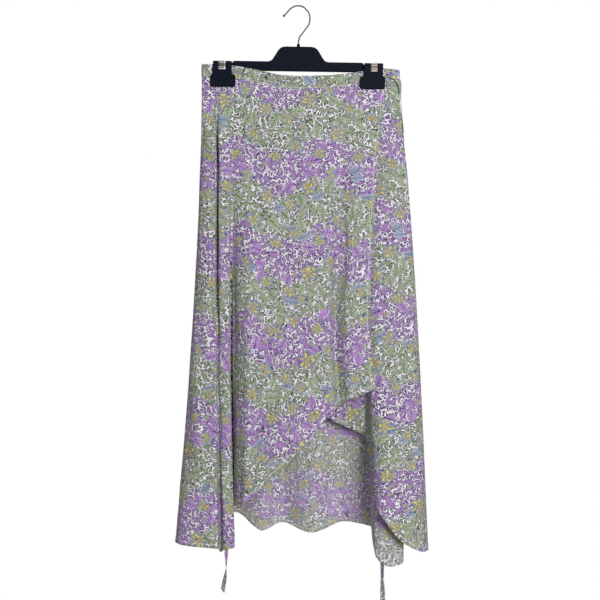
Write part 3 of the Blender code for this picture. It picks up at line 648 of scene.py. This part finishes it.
panelLook = {
    "wall": 1.1,  # at the hems, folded over twice
    "thinShare": 0.45,  # of that away from the hems
    "hem": 8.0,
    "hemFade": 3.0,
    "columnStep": 2.8,
    "rows": 190,
    "rowPower": 0.94,  # under 1: rows lie a little closer towards the hem
    "gripFall": 152.0,  # straight down from the waistband to here, just below the clips
    "gripFade": 90.0,
    "creaseFade": 60.0,  # from the grip down, over which creases and ripples come in
    "seamFade": 14.0,  # from a seam inwards, the same
    "hipFall": 303.0,
    "kneeFall": 582.0,
    "tuck": 1.2,  # how far the cloth goes up into the waistband
    "seamGap": 0.1,
    "ripples": ((61, 0.9), (37, 0.6), (23, 0.4), (13, 0.2)),  # wavelength and height
    "rippleDrift": 0.08,  # sideways, for each 1 down
    "rippleBeat": (170, 330),  # between one swelling and the next
}
# line, xWaist, xHip, xKnee, xHem, yHip, yKnee, yHem, hemFall: seams, crests and bottoms of the folds
leftSeam = ("leftSeam", -174.3, -178, -192, -222, 0, 0, 0, 962)
rightSeam = ("rightSeam", 180.2, 195, 214, 232, 0, 0, 0, 975)
overlapLines = (
    leftSeam,
    ("leftRound", -170, -173, -184, -212, -12.5, -20, -34, 957),
    ("leftFace", -162, -160, -165, -178, -20, -29, -50, 958),
    ("flapRidge", -151, -149, -148, -141, -21, -31, -54, 960),
    ("crease", -146.5, -146.5, -145, -137, 1, -18, -36, 971),
    ("stripLeft", -140, -141, -138, -130, -20, -28, -54, 961),
    ("stripRight", -122, -126, -122.5, -112.5, -19, -30, -56, 957),
    ("stepBack", -108, -117, -123.5, -119, -11, 6, 8, 906),
    ("mainLeft", -88, -87, -87, -94, -18, -24, -29, 885),
    ("mainQuarter", -43, -43, -48, -58, -19, -23, -32, 853),
    ("mainMiddle", 2, 2, 2, 2, -20, -25, -36, 792),
    ("mainRidge", 56, 60, 54, 58, -20, -27, -34, 727),
    ("valley", 83, 76, 65, 73, -11, -4, -13, 715),
    ("edgeRidge", 108, 104, 88, 96, -19, -25, -33, 700),
    ("freeEdge", 154, 139, 127, 136, -13, -17, -29, 686),
)
underlapLines = (
    ("freeEdge", -122, -119, -106, -93, 0, 4, 12, 695),
    ("hiddenLeft", -67, -67, -61, -56, -2, 2, 10, 706),
    ("hiddenMiddle", 2, 2, 5, 9, 1, 6, 18, 721),
    ("hiddenRight", 60, 60, 60, 66, -3, 1, 17, 750),
    ("turnBack", 108, 105, 98, 97, 0, 1, 25, 765),
    ("foldInside", 134, 128, 119, 120, -3, -3, 16, 776),
    ("foldRidge", 153, 147, 131, 138, -9.5, -14, -37, 893),
    ("ridgeFace", 158, 155, 147, 152, -11, -20, -49, 916),
    ("stripMiddle", 166, 171, 174, 178, -12, -20, -49, 948),
    ("stripRound", 174, 184, 199, 217, -9, -16, -34, 971),
    rightSeam,
)
backLines = (
    leftSeam,
    ("leftRound", -169, -173, -185, -213, 11, 20, 36, 970),
    ("leftBack", -139, -141, -149, -174, 17, 33, 60, 972),
    ("hollowLeft", -110, -111, -115, -119, 19, 36, 70, 928),
    ("fluteLeft", -67, -67, -68, -69, 12, 24, 48, 956),
    ("hollowMiddle", -32, -33, -33, -34, 18, 37, 77, 948),
    ("fluteMiddle", 24, 24, 24, 24, 13, 26, 52, 961),
    ("hollowRight", 78, 81, 81, 75, 18, 36, 76, 948),
    ("fluteStart", 118, 117, 118, 101, 13, 27, 62, 944),
    ("fluteSide", 129, 128, 130, 131, 12, 22, 30, 944),
    ("fluteCorner", 138, 138, 139, 136, 9, 14, -19, 982),
    ("fluteFront", 149, 158, 160, 160, 8, 11, -32, 998),
    ("fluteEdge", 157, 173, 180, 186, 9, 13, -18, 992),
    ("fluteReturn", 163, 183, 189, 189, 12, 20, 14, 966),
    ("rightBack", 169, 190, 200, 206, 13, 25, 40, 964),
    ("rightRound", 175, 194, 210, 226, 8, 17, 24, 967),
    rightSeam,
)
overlapCreases = (
    # xTop, fallTop, xFoot, fallFoot, width, depth: soft troughs, or ridges where depth is negative
    (-142, 172, -142, 285, 3, -2),
    (-157, 500, -150, 610, 3.5, 3.5),
    (-172, 200, -171, 245, 3, 2),
    (-118, 300, -120, 900, 4, 1.6),
    (82, 380, 76, 520, 5, 3),
    (101, 385, 98, 450, 3.5, 2.2),
    (30, 560, 34, 760, 14, 2),
    (-20, 300, -16, 620, 22, 2.2),
    (-60, 160, -64, 330, 12, 1.6),
    (55, 158, 62, 300, 14, 1.8),
    (120, 160, 112, 260, 6, 1.5),
    (140, 165, 134, 330, 5, 1.4),
    (-128, 150, -130, 240, 4, 1.2),
    (-158, 150, -162, 260, 5, 1.6),
    (-190, 640, -203, 900, 7, 2.5),
    (-165, 700, -170, 950, 6, 2),
    (-122, 760, -123, 955, 3, 2),
    (-75, 640, -82, 880, 10, 2),
)
overlapFolds = (
    # line, fallTop, fallFoot, width, depth: as the creases, but right along one of the lines
    ("crease", 190, 640, 3, 6),
    ("stepBack", 430, 1100, 4.2, 11),
)
underlapCreases = (
    (166, 160, 172, 300, 5, 1.6),
    (178, 320, 186, 560, 7, 2),
    (150, 420, 146, 640, 4, 1.8),
    (160, 600, 158, 900, 5, 2.2),
    (186, 640, 196, 940, 8, 3),
    (30, 300, 34, 640, 16, 1.6),
    (-80, 200, -76, 560, 12, 1.4),
)
backCreases = (
    (-150, 170, -158, 480, 6, 2),
    (-90, 220, -92, 640, 12, 2.6),
    (-50, 400, -52, 900, 9, 3),
    (-5, 250, -2, 800, 14, 3),
    (50, 300, 54, 930, 12, 3),
    (104, 180, 110, 500, 8, 2),
    (-130, 520, -140, 940, 10, 3),
    (170, 700, 172, 980, 6, 2),
    (150, 640, 148, 960, 5, 1.6),
)


def lineFade(fall, fallTop, fallFoot):
    # share of the way down a line, and its fade: in over the first quarter, out over the last third
    t = (fall - fallTop) / (fallFoot - fallTop)
    return t, smoothStep(0, 0.25, t) * (1 - smoothStep(0.65, 1, t))


def creaseDepth(x, fall, creases):
    # for each crease: depth * exp(-(distance to its line / width)^2), faded at its ends
    depth = np.zeros_like(x)
    for xTop, fallTop, xFoot, fallFoot, width, deep in creases:
        t, fade = lineFade(fall, fallTop, fallFoot)
        line = xTop + (xFoot - xTop) * np.clip(t, 0, 1)
        depth += deep * fade * np.exp(-(((x - line) / width) ** 2))
    return depth


def foldDepth(across, fall, lines, places, folds):
    # for each fold: depth * exp(-(distance to its line, across the cloth / width)^2), faded as the creases
    depth = np.zeros_like(fall)
    for name, fallTop, fallFoot, width, deep in folds:
        place = places[[line[0] for line in lines].index(name)]
        fade = lineFade(fall, fallTop, fallFoot)[1]
        depth += deep * fade * np.exp(-(((across - place) / width) ** 2))[:, None]
    return depth


def rippleHeight(u, fall, seed):
    # slack of the cloth: a sum of slow sines, each drifting sideways, swelling and fading as it goes down
    drawn = np.random.default_rng(seed)
    reach, turn = panelLook["rippleDrift"], 6.28  # a full turn
    height = np.zeros_like(u)
    for length, size in panelLook["ripples"]:
        drift, phase = drawn.uniform(-reach, reach), drawn.uniform(0, turn)
        beat = drawn.uniform(*panelLook["rippleBeat"])
        swell = 0.6 + 0.4 * np.sin(fall / beat * turn + phase)
        height += size * np.sin(2 * np.pi * (u + drift * fall) / length + phase) * swell
    return height


def panelSurface(lines, start, end, levelEnds, creases, folds, seed, freeSide):
    # smooth runs down each line, then smooth curves across them; below the clips the waistband's own shape fades out
    look = panelLook
    table = np.array([row[1:] for row in lines], float)
    xWaist, xHip, xKnee, xHem, yHip, yKnee, yHem, hemFall = table.T
    inside = (bandLength >= bandMark[start]) & (bandLength <= bandMark[end])
    order = np.argsort(bandPath[inside, 0])
    alongAt = np.interp(xWaist, bandPath[inside, 0][order], bandLength[inside][order])
    waist = bandPoint(alongAt)
    grip = look["gripFall"]
    under = bandLook["height"] - look["tuck"]
    topFall = bandTopFall(waist[:, 0]) + under
    down = np.linspace(0, 1, look["rows"]) ** look["rowPower"]
    drop = np.column_stack([topFall, topFall + (grip - topFall) * 0.5, grip + (hemFall - grip)[:, None] * down])
    runs = []
    for i in range(len(lines)):
        knots = (topFall[i], grip, look["hipFall"], look["kneeFall"], hemFall[i])
        places = np.array([waist[i], waist[i], (xHip[i], yHip[i]), (xKnee[i], yKnee[i]), (xHem[i], yHem[i])])
        runs.append(through(knots, places, drop[i]))
    runs = np.array(runs)
    # columns are spaced by the lines' mean distance over the lower two thirds
    width = np.linalg.norm(np.diff(runs[:, runs.shape[1] // 3:], axis=0), axis=2).mean(axis=1)
    knots = np.concatenate(([0.0], np.cumsum(width)))
    across = stepped(knots, look["columnStep"])
    x = through(knots, runs[:, :, 0], across, levelEnds)
    y = through(knots, runs[:, :, 1], across)
    fall = through(knots, drop, across)
    trueTop = bandPoint(through(knots, alongAt, across))
    trueFall = bandTopFall(trueTop[:, 0]) + under
    fade = np.clip(1 - (fall - grip) / look["gripFade"], 0, 1) ** 2
    x += (trueTop[:, 0] - x[:, 0])[:, None] * fade
    y += (trueTop[:, 1] - y[:, 0])[:, None] * fade
    fall += (trueFall - fall[:, 0])[:, None] * fade

    # flat cloth: u runs level across, v is the fall; the edge map runs along the hem or the free side, and away from it
    u = np.concatenate([np.zeros((1, x.shape[1])), np.cumsum(np.hypot(np.diff(x, axis=0), np.diff(y, axis=0)), axis=0)])
    u -= u[len(across) // 2]
    hemSlope = np.gradient(fall[:, -1], u[:, -1])
    toHem = (fall[:, -1:] - fall) / np.hypot(1, hemSlope)[:, None]
    edge = flatMap(runningLength(np.stack([u[:, -1], fall[:, -1]], axis=-1))[:, None], toHem)
    if freeSide is not None:
        toSide = np.abs(u - u[freeSide])
        edge = np.where((toSide < toHem)[..., None], flatMap(fall, toSide), edge)

    # creases, folds and ripples push the cloth along its normals
    grid = np.stack([x, y, -fall], axis=-1)
    free = smoothStep(grip, grip + look["creaseFade"], fall)
    seamFade = np.ones(len(across))
    for side, level in zip((0, -1), levelEnds):
        if level:
            seamFade *= smoothStep(0, look["seamFade"], np.abs(across - across[side]))
    deep = creaseDepth(x, fall, creases) + foldDepth(across, fall, lines, knots, folds)
    lift = (rippleHeight(u, fall, seed) - deep) * free * seamFade[:, None]
    grid += gridNormals(grid) * lift[..., None]
    return grid, {"cloth": flatMap(u, -fall), "edge": edge}


def addPanel(name, node, grid, maps, offset, facesBack=False):
    # thick where the hem is folded, fading out beyond it
    look = panelLook
    toEdge = maps["edge"][..., 1]
    thick = np.round((1 - smoothStep(look["hem"], look["hem"] + look["hemFade"], toEdge)) * 4) / 4
    piece = addMesh(name, grid, maps, facesBack=facesBack)
    rightSide = newMaterial("printed viscose, " + node, printedViscose, offset)
    wrongSide = newMaterial("printed viscose, wrong side, " + node, printedViscose, offset, 1.0, True)
    addWall(piece, look["wall"], rightSide, wrongSide, thick, look["thinShare"])
    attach(piece, "root")
    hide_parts(node)


overlapGrid, overlapMaps = panelSurface(
    overlapLines, "overlapEnd", "leftFold", (True, False), overlapCreases, overlapFolds, 3, -1)
underlapGrid, underlapMaps = panelSurface(
    underlapLines, "rightFold", "underlapEnd", (False, True), underlapCreases, (), 5, 0)
backGrid, backMaps = panelSurface(
    backLines, "leftFold", "rightFold", (True, True), backCreases, (), 8, None)
# fronts and back part a little at the side seams
overlapGrid[0, :, 1] -= panelLook["seamGap"] / 2
underlapGrid[-1, :, 1] -= panelLook["seamGap"] / 2
backGrid[[0, -1], :, 1] += panelLook["seamGap"] / 2
addPanel("overlap_cloth", "front_overlap", overlapGrid, overlapMaps, (300, 18))
addPanel("underlap_cloth", "front_underlap", underlapGrid, underlapMaps, (364, 118))
addPanel("back_cloth", "back_panel", backGrid, backMaps, (568, 1), facesBack=True)


# ties

tieLook = {"width": 10.0, "wall": 0.9, "step": 5.0, "columns": 7, "curl": 0.5, "stitchIn": 0.5,
           "loose": (40.0, 160.0), "curlTurn": 90.0, "tip": 25.0}
tieLeftRoute = (
    # x, y, fall, facing: the middle, and the way the flat side looks in degrees from +X towards +Y
    (-131.3, -6.1, 114.4, -90),
    (-131.3, -6.1, 150, -90),
    (-131, -5, 300, -90),
    (-130.5, -3, 600, -84),
    (-130.5, -2, 850, -70),
    (-130.5, -2.5, 970, -40),
    (-130.5, -4, 1008, 2),
    (-133.6, -4, 1032, 40),
    (-137.1, -4, 1050, 48),
)
tieRightRoute = (
    (157.8, -8.2, 123.6, -94),
    (162, -9.4, 124.1, -96),
    (168, -10.2, 126.5, -90),
    (175, -10.6, 132.3, -78),
    (180.3, -9, 143.4, -42),
    (182, -6.6, 160, -14),
    (184, -2.6, 195, 2),
    (186.6, 4.4, 230, 24),
    (185.4, 12.4, 258, 54),
    (182, 15.4, 296, 80),
    (170, 16.2, 340, 92),
    (160, 14.6, 390, 94),
    (154.8, 17, 600, 90),
    (153.6, 24, 850, 84),
    (153.2, 30, 980, 60),
    (152.9, 30, 1036, 26),
    (153.6, 30, 1062, 48),
    (153.8, 30, 1088, 58),
)


def addTie(name, node, route, offset, slant):
    # a strip along a smooth route, turned to its facing; its edges curl by a slow sine once it is loose of the
    # waistband, and its tip is cut on a slant
    look = tieLook
    rows = np.array(route, float)
    middle = rows[:, :3] * (1, 1, -1)
    length = runningLength(middle)
    at = stepped(length, look["step"])
    path = through(length, middle, at)
    facing = np.radians(through(length, rows[:, 3], at))
    ahead = unit(np.gradient(path, at, axis=0))
    sideways = unit(np.cross(ahead, np.stack([np.cos(facing), np.sin(facing), 0 * facing], axis=-1)))
    outward = np.cross(sideways, ahead)
    share = np.linspace(-0.5, 0.5, look["columns"])
    loose = look["curl"] * smoothStep(*look["loose"], at) * np.sin(at / look["curlTurn"])
    curl = (4 * share ** 2 - 0.5) * loose[:, None]
    tip = slant * share * smoothStep(length[-1] - look["tip"], length[-1], at)[:, None]
    grid = (path[:, None] + sideways[:, None] * (share * look["width"])[:, None]
            + outward[:, None] * curl[..., None] + ahead[:, None] * tip[..., None])
    toEdge = look["width"] * (0.5 - np.abs(share))
    maps = {
        "cloth": flatMap(share * look["width"], -at[:, None]),
        "edge": flatMap(at[:, None], toEdge + clothLook["stitchLine"] - look["stitchIn"]),
    }
    piece = addMesh(name, grid, maps)
    cloth = newMaterial("printed viscose, " + node, printedViscose, offset)
    addWall(piece, look["wall"], cloth, cloth)
    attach(piece, "root")
    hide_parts(node)
    print(f"{name}: {length[-1]:.0f} mm long")


addTie("left_tie_cloth", "tie_left", tieLeftRoute, (30, 100), 4.0)
addTie("right_tie_cloth", "tie_right", tieRightRoute, (75, 20), 2.0)


# hanger: the bar and the jaws keep their solids' shape, in moulded plastic; the wire and the springs are made finer

def mouldedPlastic(tree):
    # moulded ABS with a spark-eroded surface: near black with a blue cast, satin, with a grain of about 0.4 mm and
    # clouds of about 25 mm where it is a little duller
    place = addNode(tree, "TexCoord")["Object"]
    grain = addNode(tree, "TexNoise", {"Vector": place, "Scale": 2500.0, "Detail": 2.0})["Fac"]
    cloud = addNode(tree, "TexNoise", {"Vector": place, "Scale": 40.0, "Detail": 3.0})["Fac"]
    colour = addNode(tree, "Mix", {0: cloud, 6: linear("#0B111D"), 7: linear("#121926")}, data_type="RGBA")[2]
    rough = addNode(tree, "MapRange", {"Value": cloud, "To Min": 0.52, "To Max": 0.66})[0]
    bump = addNode(tree, "Bump", {"Strength": 0.2, "Distance": 0.05 * mm, "Height": grain})["Normal"]
    return addNode(tree, "BsdfPrincipled", {
        "Base Color": colour, "Roughness": rough, "IOR": 1.53, "Specular IOR Level": 0.05, "Normal": bump})


def drawnWire(tree):
    # drawn steel wire, nickel plated: bright grey, with soft broad highlights and faint dull patches of about 7 mm
    place = addNode(tree, "TexCoord")["Object"]
    dull = addNode(tree, "TexNoise", {"Vector": place, "Scale": 150.0, "Detail": 3.0})["Fac"]
    colour = addNode(tree, "Mix", {0: dull, 6: linear("#7B7872"), 7: linear("#5E5B55")}, data_type="RGBA")[2]
    rough = addNode(tree, "MapRange", {"Value": dull, "To Min": 0.5, "To Max": 0.62})[0]
    return addNode(tree, "BsdfPrincipled", {"Base Color": colour, "Metallic": 1.0, "Roughness": rough})


def rolledStrip(tree, bright, grooves, shadedBand):
    # rolled spring steel: bright, streaked across, with painted shade along its pressed grooves and a band of painted
    # shade across the strip
    place = addNode(tree, "TexCoord")["Object"]
    streaks = addNode(tree, "Mapping", {"Vector": place, "Scale": (120, 400, 1500)})["Vector"]
    grain = addNode(tree, "TexNoise", {"Vector": streaks, "Scale": 1.0, "Detail": 3.0})["Fac"]
    fall = addNode(tree, "SeparateXYZ", (place,))[2]
    fall = addNode(tree, "Math MULTIPLY", (fall, -1000.0))[0]
    colour = addNode(tree, "Mix", {0: grain, 6: linear(bright), 7: linear("#8A877F")}, data_type="RGBA")[2]
    # a brown-grey band of painted shade across the strip, at the fall given
    colour = paint(tree, colour, linear("#6E6052"), nearTo(tree, fall, shadedBand), -1.7, 0.5)
    # dark lines of painted shade along each pressed groove
    for groove in grooves:
        colour = paint(tree, colour, linear("#1E1B19"), nearTo(tree, fall, groove), -0.5, 0.3)
    rough = addNode(tree, "MapRange", {"Value": grain, "To Min": 0.25, "To Max": 0.5})[0]
    return addNode(tree, "BsdfPrincipled", {"Base Color": colour, "Metallic": 0.8, "Roughness": rough})


hangerTilt = math.radians(0.9)  # the right end hangs lower


def tilted(points):
    # the hanger is drawn level, then turned about Y through the origin
    x, y, z = points[..., 0], points[..., 1], points[..., 2]
    return np.stack([x * math.cos(hangerTilt) + z * math.sin(hangerTilt), y,
                     z * math.cos(hangerTilt) - x * math.sin(hangerTilt)], axis=-1)


for node in ("hanger_body", "jaw_left", "jaw_right"):
    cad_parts[node].data.materials.clear()
    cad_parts[node].data.materials.append(newMaterial("moulded ABS, " + node, mouldedPlastic))

hookLook = {"radius": 1.3, "sides": 20, "steps": 220, "ball": 2.2, "ballRows": 14, "ballShare": 0.86}
hookRoute = (
    # x, fall: from the ball round the bend and down into the bar
    (-26.9, 16.9), (-22.7, 12.6), (-17.4, 6.2), (-13.2, 2.4), (-8.6, -0.3), (-3.0, -1.4), (0.0, -1.5),
    (3.8, -1.1), (8.6, 1.1), (13.2, 5.2), (17.3, 10.3), (19.4, 15.6), (20.0, 21.8), (19.5, 28.1),
    (17.3, 33.3), (12.6, 40.1), (6.9, 48.2), (1.8, 55.1), (0.6, 60.3), (0.0, 66.0), (0.0, 80.0),
)
rows = np.array(hookRoute)
route = np.stack([rows[:, 0], 0 * rows[:, 0], -rows[:, 1]], axis=-1)
length = runningLength(route)
at = np.linspace(0, length[-1], hookLook["steps"])
middle = through(length, route, at)
ahead = unit(np.gradient(middle, at, axis=0))
# the ball is part of the same surface: the wire's radius follows a circle at its free end
past = at > hookLook["ball"]
ballAngle = np.linspace(0, np.pi * hookLook["ballShare"], hookLook["ballRows"])
ballPlace = middle[0] - ahead[0] * hookLook["ball"] * np.cos(ballAngle)[:, None]
reach = np.concatenate([hookLook["ball"] * np.sin(ballAngle), np.full(past.sum(), hookLook["radius"])])
middle = np.concatenate([ballPlace, middle[past]])
ahead = np.concatenate([np.broadcast_to(ahead[0], ballPlace.shape), ahead[past]])
sideways = np.cross(ahead, (0, 1, 0))
angles = np.linspace(0, 2 * np.pi, hookLook["sides"], endpoint=False)
hookGrid = middle[:, None] + reach[:, None, None] * (
    sideways[:, None] * np.cos(angles)[:, None] + np.array((0, 1, 0)) * np.sin(angles)[:, None])
hook = addMesh("hook_wire", tilted(hookGrid), closeAround=True)
hook.data.materials.append(newMaterial("nickel-plated wire", drawnWire))
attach(hook, "root")
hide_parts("hook")

springLook = {"middle": 136.0, "width": 13.6, "wall": 0.7, "front": -12.8, "back": 3.7, "top": 103.1, "foot": 118.3,
              "backFoot": 122.3, "bend": 0.8, "bendRows": 7, "columns": 7, "step": 0.25, "grooveDepth": 0.25,
              "grooveHalf": 0.6}
springs = (
    # side, node, colour, falls of the pressed grooves, fall of the band of painted shade: on the level hanger; the two
    # colours are painted light on the same steel
    (-1, "spring_left", "#F4F2EC", (105.4, 108.0, 112.2, 114.8), 110.1),
    (1, "spring_right", "#74695D", (105.8, 109.0, 112.0, 115.2), 110.4),
)
look = springLook
bendAngles = np.radians(np.linspace(180, 90, look["bendRows"]))
bend = look["bend"] * np.stack([1 + np.cos(bendAngles), np.sin(bendAngles) - 1], axis=-1)
for side, node, bright, grooves, shadedBand in springs:
    # seen from the side: up the front leg with its grooves, round both bends and down the rear leg
    fall = np.arange(look["foot"], look["top"] + look["bend"], -look["step"])
    sunk = sum(np.exp(-(((fall - groove) / look["grooveHalf"]) ** 2)) for groove in grooves)
    profile = np.concatenate([
        np.stack([look["front"] + look["grooveDepth"] * sunk, -fall], axis=-1),
        (look["front"], -look["top"]) + bend,
        (look["back"], -look["top"]) + bend[::-1] * (-1, 1),
        [[look["back"], -look["backFoot"]]]])
    across = side * look["middle"] + np.linspace(-0.5, 0.5, look["columns"]) * look["width"]
    stripGrid = np.empty((len(across), len(profile), 3))
    stripGrid[..., 0] = across[:, None]
    stripGrid[..., 1:] = profile
    strip = addMesh(node + "_strip", tilted(stripGrid))
    lower = side * look["middle"] * math.sin(hangerTilt)
    steel = newMaterial("rolled spring steel, " + node, rolledStrip, bright, [groove + lower for groove in grooves],
                        shadedBand + lower)
    addWall(strip, look["wall"], steel, steel)
    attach(strip, "root")
    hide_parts(node)
print("hanger ready")
